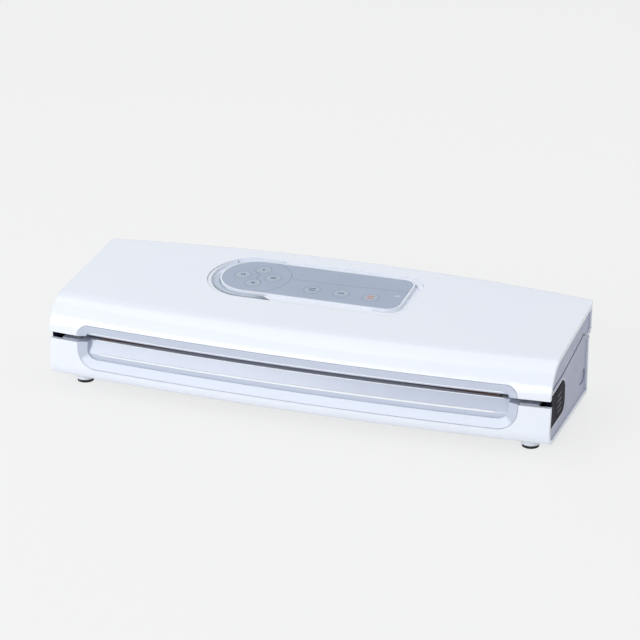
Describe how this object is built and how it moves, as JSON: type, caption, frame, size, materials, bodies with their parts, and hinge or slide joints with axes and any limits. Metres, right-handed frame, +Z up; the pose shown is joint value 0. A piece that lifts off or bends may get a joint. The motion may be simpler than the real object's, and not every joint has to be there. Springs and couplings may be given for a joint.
{
  "type": "vacuum sealer",
  "caption": "Countertop vacuum sealer with a bowed white body, hinged lid, recessed front trough, seal bar, vacuum chamber, side release buttons and a flush control panel.",
  "frame": {"origin": "on the table under the middle of the body", "axes": "+X along the length to the right, +Y to the back where the lid hinges, +Z up"},
  "size_m": [0.39, 0.15, 0.0804],
  "materials": {
    "white_plastic": "glossy moulded plastic",
    "light_grey_plastic": "satin moulded plastic",
    "grey_plastic": "fine textured plastic",
    "black_plastic": "moulded plastic",
    "black_rubber": "soft rubber",
    "dark_foam": "closed-cell foam and silicone",
    "steel": "plain steel",
    "bar_resin": "heat-proof resin",
    "release_tape": "coated glass cloth tape",
    "panel_film": "printed film",
    "board": "circuit board"
  },
  "bodies": {
    "base": {"base_deck": "grey_plastic", "base_end_panel_left": "grey_plastic", "base_end_panel_right": "grey_plastic", "base_shell": "white_plastic", "board_components": "black_plastic", "board_posts": "black_plastic", "button_spring_left": "steel", "button_spring_right": "steel", "end_screw_plugs": "grey_plastic", "feet": "black_rubber", "front_trough": "light_grey_plastic", "heating_strip": "steel", "hinge_brackets": "steel", "inlet_pins": "steel", "lid_microswitches": "black_plastic", "lower_gasket": "dark_foam", "power_board": "board", "power_inlet": "black_plastic", "pressure_switch": "black_plastic", "ptfe_tape": "release_tape", "pump_cradle": "steel", "pump_motor": "steel", "seal_bar": "bar_resin", "spring_seats": "grey_plastic", "suction_nozzle": "grey_plastic", "transformer": "steel", "vacuum_hose": "black_rubber", "vacuum_pump": "grey_plastic"},
    "lid": {"lid_shell": "white_plastic", "lid_front_trim": "light_grey_plastic", "lid_end_panel_left": "grey_plastic", "lid_end_panel_right": "grey_plastic", "lid_liner": "grey_plastic", "upper_gasket": "dark_foam", "seal_strip": "dark_foam", "strip_holder": "grey_plastic", "latch_hook_left": "white_plastic", "latch_hook_right": "white_plastic", "panel_tray": "white_plastic", "panel_overlay": "panel_film", "control_board": "board", "key_switches": "black_plastic", "hinge_ears": "steel", "hinge_pins": "steel"},
    "button_left": {"release_button_left": "black_plastic"},
    "button_right": {"release_button_right": "black_plastic"}
  },
  "joints": [
    {"name": "lid_hinge", "type": "hinge", "parent": "base", "child": "lid", "pos_m": [0, 0.062, 0.0678], "axis": [-1, 0, 0], "range_deg": [0, 55]},
    {"name": "left_button_press", "type": "slide", "parent": "base", "child": "button_left", "axis": [1, 0, 0], "range_m": [0, 0.004], "stiffness_N_per_m": 600, "deforming": ["button_spring_left"]},
    {"name": "right_button_press", "type": "slide", "parent": "base", "child": "button_right", "axis": [-1, 0, 0], "range_m": [0, 0.004], "stiffness_N_per_m": 600, "deforming": ["button_spring_right"]}
  ]
}
